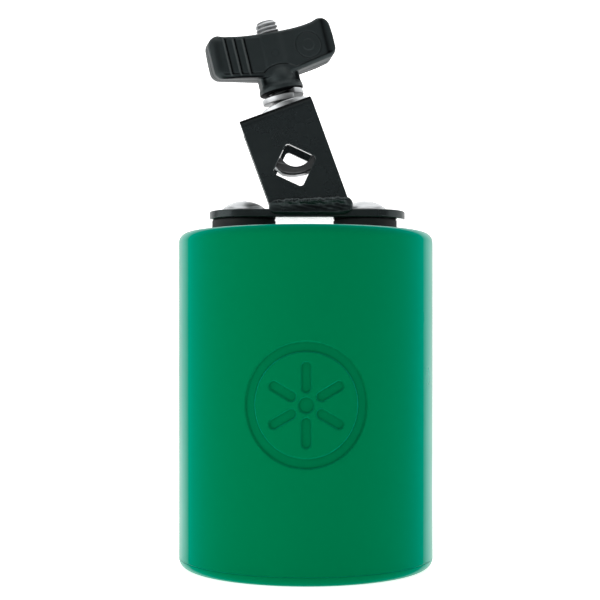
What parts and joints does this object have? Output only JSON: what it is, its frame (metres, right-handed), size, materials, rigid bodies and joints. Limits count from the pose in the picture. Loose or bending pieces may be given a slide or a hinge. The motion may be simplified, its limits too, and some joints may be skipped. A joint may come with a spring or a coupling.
{
  "type": "mountable cylinder shaker",
  "caption": "Closed plastic can of loose shot on rubber pads under a steel bracket; a winged knob and an eye bolt clamp it to a round rod.",
  "frame": {"origin": "centre of the can's bottom face", "axes": "+Z along the can towards the clamp, front with the medallion towards -Y, bolts side by side along X"},
  "size_m": [0.0888, 0.0888, 0.1921],
  "materials": {
    "green_plastic": "smooth moulded, satin gloss",
    "green_cap": "smooth moulded, satin gloss",
    "shot_steel": "tumbled steel balls",
    "black_rubber": "soft matt rubber",
    "black_powder_coat": "fine powder coat, satin",
    "zinc_plate": "bright zinc plate",
    "nut_nylon": "nylon",
    "black_nylon": "fine moulded texture",
    "insert_steel": "turned steel, dulled"
  },
  "bodies": {
    "shaker": {"shell": "green_plastic", "end_cap": "green_cap", "isolator_left": "black_rubber", "isolator_right": "black_rubber", "base_plate": "black_powder_coat", "clamp_channel": "black_powder_coat", "weld_front": "black_powder_coat", "weld_back": "black_powder_coat", "screw_left": "zinc_plate", "screw_right": "zinc_plate", "inner_washer_left": "zinc_plate", "inner_washer_right": "zinc_plate", "lock_nut_left": "zinc_plate", "lock_nut_right": "zinc_plate", "nylon_ring_left": "nut_nylon", "nylon_ring_right": "nut_nylon", "flat_washer": "zinc_plate"},
    "fill": {"shot": "shot_steel"},
    "spring_washer": {"lock_washer": "zinc_plate"},
    "knob": {"wing_knob": "black_nylon", "knob_insert": "insert_steel"},
    "bolt": {"eye_bolt": "zinc_plate"}
  },
  "joints": [
    {"name": "fill_shake", "type": "slide", "parent": "shaker", "child": "fill", "axis": [0, 0, 1], "range_m": [0, 0.088]},
    {"name": "clamp_rock", "type": "hinge", "parent": "shaker", "child": "spring_washer", "pos_m": [-0.00391, 0, 0.163], "axis": [0, 1, 0], "range_deg": [-6.5, 6.3], "stiffness_Nm_per_rad": 1},
    {"name": "knob_spin", "type": "hinge", "parent": "spring_washer", "child": "knob", "pos_m": [-0.00839, 0, 0.16584], "axis": [-0.2309, 0, 0.973], "range_deg": [0, 1710]},
    {"name": "eye_bolt_slide", "type": "slide", "parent": "spring_washer", "child": "bolt", "axis": [-0.2309, 0, 0.973], "range_m": [-0.0067, 0]}
  ],
  "couplings": [
    {"joint": "knob_spin", "follows": "eye_bolt_slide", "rad_per_m": -4452.6}
  ]
}
